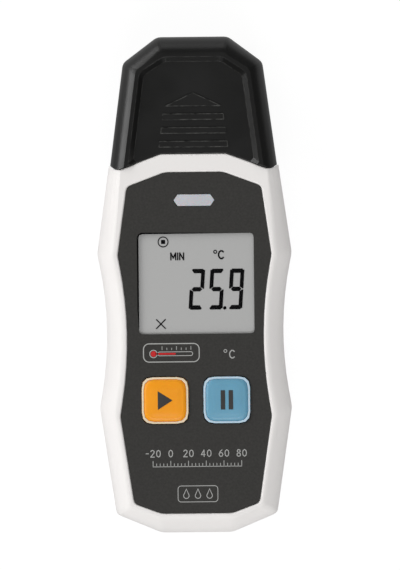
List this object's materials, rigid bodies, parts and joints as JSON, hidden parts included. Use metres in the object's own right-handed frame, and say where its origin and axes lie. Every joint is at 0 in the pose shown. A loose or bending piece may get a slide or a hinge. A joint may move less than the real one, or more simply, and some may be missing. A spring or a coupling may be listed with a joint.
{
  "type": "temperature data logger",
  "caption": "Pocket temperature logger with a waisted white case, dark front panel, small display, start and stop keys, and a pull-off cap over its USB plug.",
  "frame": {"origin": "on the resting surface under the middle of the object", "axes": "+Z out of the display, +Y along the case towards the cap, +X to the right of the display"},
  "size_m": [0.0384, 0.098, 0.0178],
  "materials": {
    "cap_plastic": "fine matte texture",
    "white_plastic": "fine satin texture",
    "panel_film": "fine matte grain",
    "clear_window": "clear and smooth",
    "display": "grey display behind a matte film",
    "light_guide": "frosted and translucent",
    "dark_plastic": "plain moulded",
    "connector_rubber": "soft silicone",
    "green_lamp": "tinted",
    "red_lamp": "tinted",
    "board": "solder mask",
    "crystal_can": "drawn can",
    "orange_key": "coated silicone",
    "blue_key": "coated silicone",
    "pale_silicone": "translucent silicone",
    "key_mark": "printed",
    "seal_rubber": "soft silicone",
    "switch_metal": "pressed sheet",
    "plug_steel": "plated sheet",
    "plug_insulator": "plain moulded",
    "gold_contact": "plated",
    "cell_steel": "plated can",
    "screw_steel": "plated"
  },
  "bodies": {
    "case": {"cap_seal": "seal_rubber", "front_housing": "white_plastic", "rear_housing": "white_plastic", "housing_gasket": "seal_rubber", "panel_overlay": "panel_film", "display_window": "clear_window", "lcd_glass": "display", "lcd_frame": "dark_plastic", "lcd_strips": "connector_rubber", "led_window": "light_guide", "green_led": "green_lamp", "red_led": "red_lamp", "circuit_board": "board", "main_chip": "dark_plastic", "memory_chip": "dark_plastic", "clock_crystal": "crystal_can", "temperature_sensor": "dark_plastic", "keypad_seal": "pale_silicone", "start_switch": "switch_metal", "stop_switch": "switch_metal", "usb_plug_shell": "plug_steel", "usb_plug_tongue": "plug_insulator", "usb_contacts": "gold_contact", "coin_cell": "cell_steel", "battery_holder": "dark_plastic", "plus_contact": "cell_steel", "minus_contact": "cell_steel", "housing_screws": "screw_steel", "board_screws": "screw_steel"},
    "usb_cap": {"usb_cap": "cap_plastic"},
    "start_key": {"start_key": "orange_key", "start_key_rim": "pale_silicone", "start_key_mark": "key_mark"},
    "stop_key": {"stop_key": "blue_key", "stop_key_rim": "pale_silicone", "stop_key_mark": "key_mark"},
    "start_switch_button": {"start_switch_button": "dark_plastic"},
    "stop_switch_button": {"stop_switch_button": "dark_plastic"},
    "battery_door": {"battery_door": "white_plastic", "door_seal": "seal_rubber"}
  },
  "joints": [
    {"name": "cap_pull", "type": "slide", "parent": "case", "child": "usb_cap", "axis": [0, 1, 0], "range_m": [0, 0.026]},
    {"name": "start_key_press", "type": "slide", "parent": "case", "child": "start_key", "axis": [0, 0, 1], "range_m": [-0.0004, 0], "stiffness_N_per_m": 400},
    {"name": "start_switch_press", "type": "slide", "parent": "case", "child": "start_switch_button", "axis": [0, 0, 1], "range_m": [-0.0004, 0]},
    {"name": "stop_key_press", "type": "slide", "parent": "case", "child": "stop_key", "axis": [0, 0, 1], "range_m": [-0.0004, 0], "stiffness_N_per_m": 400},
    {"name": "stop_switch_press", "type": "slide", "parent": "case", "child": "stop_switch_button", "axis": [0, 0, 1], "range_m": [-0.0004, 0]},
    {"name": "door_twist", "type": "hinge", "parent": "case", "child": "battery_door", "pos_m": [0, -0.0227, 0], "axis": [0, 0, 1], "range_deg": [0, 45]}
  ],
  "couplings": [
    {"joint": "start_switch_press", "follows": "start_key_press", "ratio": 1},
    {"joint": "stop_switch_press", "follows": "stop_key_press", "ratio": 1}
  ]
}
